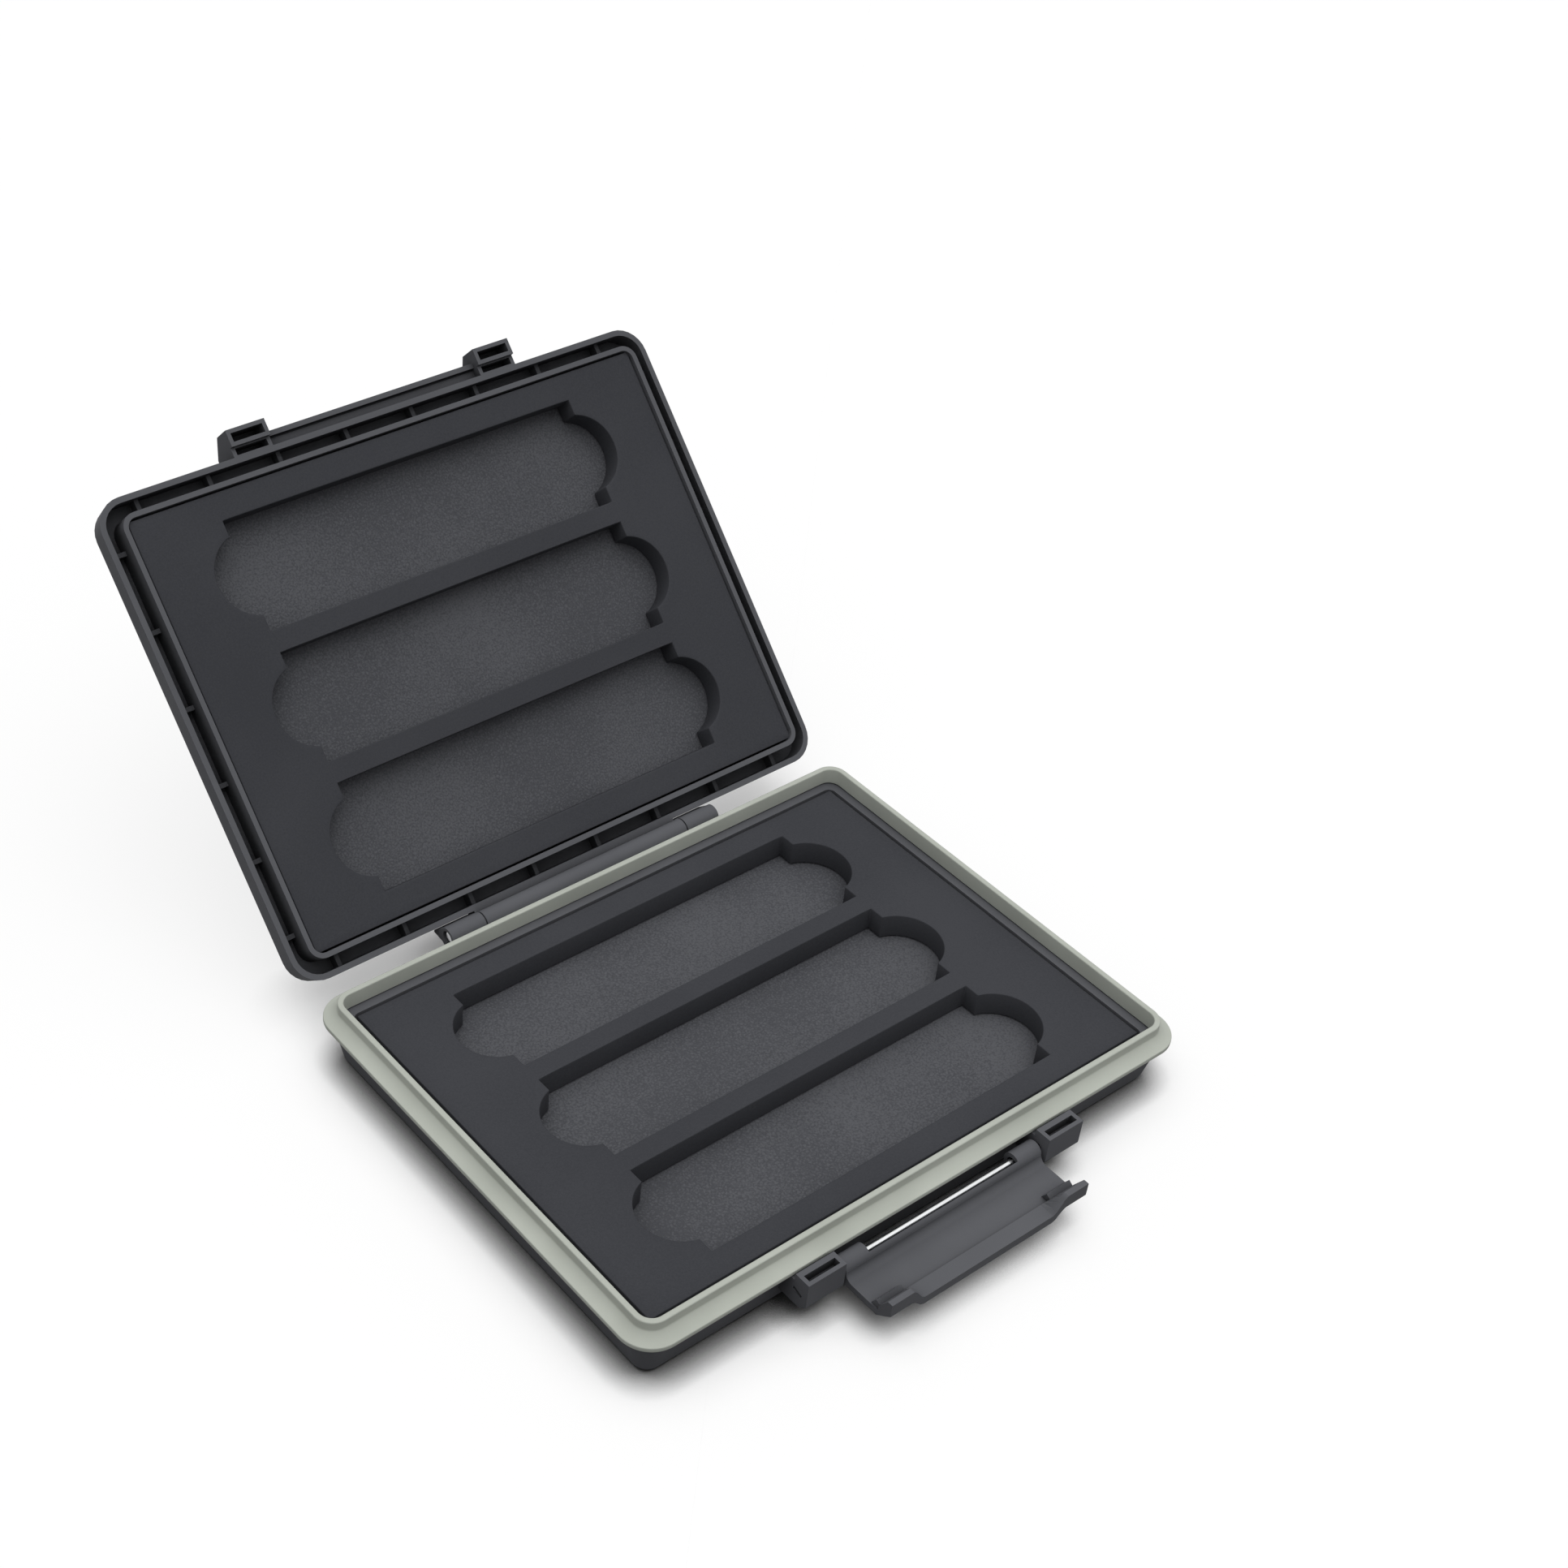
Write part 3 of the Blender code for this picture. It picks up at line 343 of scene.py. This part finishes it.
def thicken(sheet, thickness_mm, edge_mm, segments):
    """Give a flat sheet its thickness, downwards from its face, and soft edges."""
    body = sheet.modifiers.new("thickness", "SOLIDIFY")
    body.thickness = thickness_mm * MM
    body.offset = -1
    round_edges(sheet, edge_mm, segments, 40)


def slotted_sheet(name, top_mm, thickness_mm, material, matrix=Matrix()):
    """The die-cut sheet: three slot cells side by side, with thickness and soft edges."""
    half_length, half_width, pitch, merge_mm = 57.5, 42.6, 26.3, 0.01
    borders = [-half_width, -pitch / 2, pitch / 2, half_width]
    points, faces = [], []
    for i in range(3):
        cell = slot_cell((i - 1) * pitch, borders[i], borders[i + 1], half_length)
        faces.append(grid_faces(*cell.shape[:2]) + i * cell.shape[0] * cell.shape[1])
        points.append(np.dstack([cell, np.full(cell.shape[:2], top_mm)]).reshape(-1, 3))
    sheet = mesh_piece(name, np.vstack(points), np.vstack(faces), material)
    shape = bmesh.new()
    shape.from_mesh(sheet.data)
    bmesh.ops.remove_doubles(shape, verts=shape.verts, dist=merge_mm * MM)
    bmesh.ops.recalc_face_normals(shape, faces=shape.faces)
    if sum(face.normal.z for face in shape.faces) < 0:
        bmesh.ops.reverse_faces(shape, faces=shape.faces)
    shape.transform(matrix)
    shape.to_mesh(sheet.data)
    shape.free()
    thicken(sheet, thickness_mm, 0.25, 3)
    return sheet


def eva_foam(name, dark, pale, surface, depth_mm):
    """Matt closed-cell EVA foam, dyed charcoal.

    The surface function gives the height of its cells or grain, which are
    depth_mm deep. Painted shade and light follow that height: hollows are
    darker and raised spots paler, with slow changes of tone over 30 mm.
    """
    material, tree, shader, place = new_material(name)
    tone_mm = 30
    height = surface(tree, place)
    inputs = {"Vector": place, "Scale": 1 / (tone_mm * MM), "Detail": 2.0}
    tone = add_node(tree, "ShaderNodeTexNoise", inputs)
    # Painted shade and light: the colour follows the relief's height, so hollows are darker and raised
    # spots paler.
    both = add_node(tree, "ShaderNodeMath", {0: height, 1: tone}, operation="ADD")
    inputs = {"Value": both, "From Min": 0.75, "From Max": 1.25}
    share = add_node(tree, "ShaderNodeMapRange", inputs)
    inputs = {"Fac": share, "Color1": linear(dark), "Color2": linear(pale)}
    colour = add_node(tree, "ShaderNodeMixRGB", inputs)
    inputs = {"Height": height, "Distance": depth_mm * MM, "Strength": 0.6}
    relief = add_node(tree, "ShaderNodeBump", inputs)
    inputs = {"Base Color": colour, "Roughness": 0.92, "Specular IOR Level": 0.03, "Normal": relief}
    fill_in(tree, shader, inputs)
    return material


def fine_cells(tree, place):
    """Cut foam: cells 0.35 mm across, coarser than the real 0.2 mm so that they show."""
    cell_mm = 0.35
    inputs = {"Vector": place, "Scale": 1 / (cell_mm * MM), "Detail": 4.0}
    return add_node(tree, "ShaderNodeTexNoise", inputs)


slotted_eva = eva_foam("slotted_eva_foam", "#3e3f43", "#444549", fine_cells, 0.03)
base_foam = slotted_sheet("base_slotted_foam", 10.6, 5.2, slotted_eva)
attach(base_foam, "base")
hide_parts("base_foam")


# Base foam backing: the plain EVA sheet under the slots. Its skin is embossed
# with a fine pebble grain and shows as the floor of every slot.

def plain_sheet(name, low_mm, high_mm, material, matrix=Matrix()):
    """A plain sheet: a fine flat grid with thickness and soft edges."""
    half_length, half_width = 57.5, 42.6
    columns, rows = np.linspace(-half_length, half_length, 93), np.linspace(-half_width, half_width, 69)
    x, y = np.meshgrid(columns, rows)
    points = np.dstack([x, y, np.full(x.shape, high_mm)])
    sheet = mesh_piece(name, points, grid_faces(*x.shape, columns_close=False), material)
    sheet.data.transform(matrix)
    thicken(sheet, high_mm - low_mm, 0.15, 2)
    return sheet


def creased_skin(tree, place, pad_mm):
    """Height of a leather-like skin: pads about pad_mm across, with creases between.

    The height is the distance to the nearest crease, cut off on the pads. The
    creases wander, because noise shifts the place by a third of a pad.
    """
    scale, third, pad_top = 1 / (pad_mm * MM), 0.3 * pad_mm * MM, 0.3
    wander = add_node(tree, "ShaderNodeTexNoise", {"Vector": place, "Scale": scale}).outputs["Color"]
    shift = add_node(tree, "ShaderNodeVectorMath", {0: wander, 1: (third,) * 3}, operation="MULTIPLY")
    moved = add_node(tree, "ShaderNodeVectorMath", {0: place, 1: shift}, operation="ADD")
    inputs = {"Vector": moved, "Scale": scale}
    pads = add_node(tree, "ShaderNodeTexVoronoi", inputs, feature="DISTANCE_TO_EDGE")
    return add_node(tree, "ShaderNodeMapRange", {"Value": pads, "From Min": 0, "From Max": pad_top})


def pebbled_skin(tree, place):
    """Embossed foam: pads 0.7 mm across, roughened by specks of half that size."""
    pad_mm, speck_mm, speck_share = 0.7, 0.35, 0.65
    inputs = {"Vector": place, "Scale": 1 / (speck_mm * MM), "Detail": 3.0}
    specks = add_node(tree, "ShaderNodeTexNoise", inputs)
    rough = add_node(tree, "ShaderNodeMapRange", {"Value": specks, **MOST_NOISE, "To Max": speck_share})
    inputs = {0: creased_skin(tree, place, pad_mm), 1: 1 - speck_share, 2: rough}
    return add_node(tree, "ShaderNodeMath", inputs, operation="MULTIPLY_ADD")


grained_eva = eva_foam("grained_eva_foam", "#4c4d51", "#5b5c60", pebbled_skin, 0.13)
base_backing = plain_sheet("base_grained_backing", 2.3, 5.1, grained_eva)
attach(base_backing, "base")
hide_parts("base_foam_backing")


# Lid shell: the second moulding, in the same charcoal ABS. Its outer face has
# a leather-like grain on two sunk fields and on the diagonal band between them.
# The frame, the edges of the band and the slopes are smooth.

hinge = next(joint for joint in frame["joints"] if joint["name"] == "lid_hinge")
hinge_place = Vector(hinge["pos_m"])
open_angle = math.radians(hinge["range_deg"][1])
swing = Matrix.Rotation(-open_angle, 4, "X")
to_open = Matrix.Translation(hinge_place) @ swing @ Matrix.Translation(-hinge_place)


def grained_face(tree, place):
    """Share of grain at each place: 1 on the sunk fields and the band, 0 elsewhere.

    The place is first turned back to the closed lid. There the grain lies
    inside the face's frame, at the height of the fields' floor or of the band.
    A test gives 1 where a coordinate is within reach of its middle, else 0,
    and the share is (x test) * (y test) * (field test + band test).
    """
    half_length, half_width, field_z, band_z, reach = 57.4, 42.5, 18.76, 19.66, 0.06
    turned = {"Vector": place, "Location": to_open.inverted().translation, "Rotation": (open_angle, 0, 0)}
    closed = add_node(tree, "ShaderNodeMapping", turned)
    x, y, z = add_node(tree, "ShaderNodeSeparateXYZ", {0: closed}).outputs
    tests = [(x, 0, half_length), (y, 0, half_width), (z, field_z, reach), (z, band_z, reach)]
    in_x, in_y, on_field, on_band = [
        add_node(tree, "ShaderNodeMath", {0: value, 1: middle * MM, 2: half * MM}, operation="COMPARE")
        for value, middle, half in tests
    ]
    framed = add_node(tree, "ShaderNodeMath", {0: in_x, 1: in_y}, operation="MULTIPLY")
    level = add_node(tree, "ShaderNodeMath", {0: on_field, 1: on_band}, operation="ADD")
    return add_node(tree, "ShaderNodeMath", {0: framed, 1: level}, operation="MULTIPLY")


def leather_grain(tree, place, relief):
    """The lid's grain over its pits: pads 0.75 mm across and 0.22 mm high."""
    pad_mm, depth_mm = 0.75, 0.22
    inputs = {0: creased_skin(tree, place, pad_mm), 1: grained_face(tree, place)}
    height = add_node(tree, "ShaderNodeMath", inputs, operation="MULTIPLY")
    return add_node(tree, "ShaderNodeBump", {"Height": height, "Distance": depth_mm * MM, "Normal": relief})


dress("lid_shell", moulded_abs("grained_lid_abs", leather_grain), 0.1)


# Lid foam and its backing: the same two sheets, thinner, held in the lid's
# inner wall. They are shaped for the closed lid and swing open with it.

lid_foam = slotted_sheet("lid_slotted_foam", 16.76, 5.1, slotted_eva, to_open)
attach(lid_foam, "lid")
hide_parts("lid_foam")
lid_backing = plain_sheet("lid_grained_backing", 17.06, 17.56, grained_eva, to_open)
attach(lid_backing, "lid")
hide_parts("lid_foam_backing")


# Pins: two lengths of bright drawn steel wire, one through the hinge and one
# through the latch's barrel, where a window leaves it bare.

def drawn_steel():
    """Bright drawn steel: a clean metal with hair-fine marks along the wire.

    The marks are 0.12 mm wide and 50 times as long as they are wide.
    """
    material, tree, shader, place = new_material("drawn_steel")
    mark_mm, stretch = 0.12, (0.02, 1, 1)
    along = add_node(tree, "ShaderNodeMapping", {"Vector": place, "Scale": stretch})
    inputs = {"Vector": along, "Scale": 1 / (mark_mm * MM), "Detail": 2.0}
    marks = add_node(tree, "ShaderNodeTexNoise", inputs)
    inputs = {"Fac": marks, "Color1": linear("#dfe1e2"), "Color2": linear("#f2f3f4")}
    colour = add_node(tree, "ShaderNodeMixRGB", inputs)
    inputs = {"Value": marks, **MOST_NOISE, "To Min": 0.16, "To Max": 0.3}
    roughness = add_node(tree, "ShaderNodeMapRange", inputs)
    fill_in(tree, shader, {"Base Color": colour, "Roughness": roughness, "Metallic": 1.0})
    return material


steel = drawn_steel()
dress("hinge_pin", steel, 0.15)
dress("latch_pin", steel, 0.1)


# Latch: one ABS moulding that turns on its pin, with a finger tab at either
# end and two teeth that reach over the lid's rail.

dress("latch", charcoal_abs, 0.08)


# Floor: a plain white table top that runs out of view. Seen or mirrored it is
# white; the light that it throws back up is that of a duller table.

def seen_rays(tree):
    """1 for rays from the camera, off a mirror or through glass, 0 for others."""
    path = add_node(tree, "ShaderNodeLightPath", {}).outputs
    inputs = {0: path["Is Camera Ray"], 1: path["Is Glossy Ray"]}
    seen = add_node(tree, "ShaderNodeMath", inputs, operation="MAXIMUM")
    return add_node(tree, "ShaderNodeMath", {0: seen, 1: path["Is Transmission Ray"]}, operation="MAXIMUM")


def white_table():
    """White paper, lit evenly, so that only the case's shadow darkens it, partly
    real and partly painted.

    Away from the case 0.75 of its white doesn't depend on the lamps, which
    keeps the wide shadow pale. Where the case covers the floor within 14 mm
    that share falls to nothing, and within 6 mm a painted contact shadow
    darkens the white itself.
    """
    material, tree, shader, place = new_material("white_table")
    shadow_mm, foot_mm = 14, 6
    seen = seen_rays(tree)
    around, foot = [
        add_node(tree, "ShaderNodeAmbientOcclusion", {"Distance": reach * MM}, samples=4).outputs["AO"]
        for reach in (shadow_mm, foot_mm)
    ]
    # Painted contact shadow: occlusion within 6 mm darkens the floor's white near the case's foot.
    inputs = {"Value": foot, "From Min": 0.45, "From Max": 0.95, "To Min": 0.02}
    painted_contact_shadow = add_node(tree, "ShaderNodeMapRange", inputs)
    inputs = {"Fac": painted_contact_shadow, "Color1": linear("#000000"), "Color2": linear("#ffffff")}
    white = add_node(tree, "ShaderNodeMixRGB", inputs)
    inputs = {"Fac": seen, "Color1": linear("#404040"), "Color2": white}
    tint = add_node(tree, "ShaderNodeMixRGB", inputs)
    fill_in(tree, shader, {"Base Color": tint, "Roughness": 1.0, "Specular IOR Level": 0.0})
    inputs = {"Value": around, "From Min": 0.5, "To Max": 0.75}
    lampless = add_node(tree, "ShaderNodeMapRange", inputs)
    share = add_node(tree, "ShaderNodeMath", {0: seen, 1: lampless}, operation="MULTIPLY")
    glow = add_node(tree, "ShaderNodeEmission", {"Color": white, "Strength": 1.0})
    mixed = add_node(tree, "ShaderNodeMixShader", {0: share, 1: shader, 2: glow})
    fill_in(tree, tree.nodes["Material Output"], {"Surface": mixed})
    return material


floor_half = 6000
floor_points = np.array([[(-floor_half, -floor_half, 0), (floor_half, -floor_half, 0)],
                         [(-floor_half, floor_half, 0), (floor_half, floor_half, 0)]], float)
floor = mesh_piece("floor", floor_points, grid_faces(2, 2, columns_close=False), white_table())


# Lamps: one broad soft lamp high up and a little to the front, and a soft sky
# that is brightest overhead and 0.15 as bright at the horizon.

scene = bpy.context.scene
scene.view_settings.view_transform = "Standard"
world = bpy.data.worlds.new("studio")
scene.world = world
world.use_nodes = True
sky = world.node_tree
horizon = 0.15
direction = add_node(sky, "ShaderNodeTexCoord", {}).outputs["Generated"]
height = add_node(sky, "ShaderNodeSeparateXYZ", {0: direction}).outputs["Z"]
soft = add_node(sky, "ShaderNodeMapRange", {"Value": height, "To Min": horizon})
strength = add_node(sky, "ShaderNodeMix", {0: seen_rays(sky), 2: soft, 3: 1.0}, data_type="FLOAT")
fill_in(sky, sky.nodes["Background"], {"Color": linear("#ffffff"), "Strength": strength})
lamp = bpy.data.lights.new("overhead", "SUN")
lamp.energy = 1.0
lamp.angle = math.radians(60)
overhead = bpy.data.objects.new("overhead", lamp)
scene.collection.objects.link(overhead)
towards_lamp = Vector((-0.1, -0.2, 0.97))
overhead.rotation_euler = towards_lamp.to_track_quat("Z", "Y").to_euler()


# Camera: the photograph's viewing angle. Azimuth 0 looks along +Y, and the
# camera stands away from the aim by its distance.

azimuth, elevation, roll = math.radians(-40.10), math.radians(41.22), math.radians(3.68)
image_px, focal_px, centre_px = 1932, 3013.74, (739.58, 1091.11)
aim, distance = Vector((-0.54, 44.36, 12.46)) * MM, 470.82 * MM
level = Vector((math.sin(azimuth), -math.cos(azimuth), 0))
back = level * math.cos(elevation) + Vector((0, 0, math.sin(elevation)))
right = (-back).cross(Vector((0, 0, 1))).normalized()
up = right.cross(-back)
turned_right = right * math.cos(roll) + up * math.sin(roll)
turned_up = up * math.cos(roll) - right * math.sin(roll)
turn = Matrix((turned_right, turned_up, back)).transposed().to_4x4()
camera_data = bpy.data.cameras.new("camera")
camera_data.sensor_width = 36
camera_data.lens = focal_px / image_px * camera_data.sensor_width
camera_data.shift_x = (image_px / 2 - centre_px[0]) / image_px
camera_data.shift_y = (centre_px[1] - image_px / 2) / image_px
camera_data.clip_start, camera_data.clip_end = 0.01, 50
camera = bpy.data.objects.new("camera", camera_data)
scene.collection.objects.link(camera)
camera.matrix_world = Matrix.Translation(aim + back * distance) @ turn
scene.camera = camera
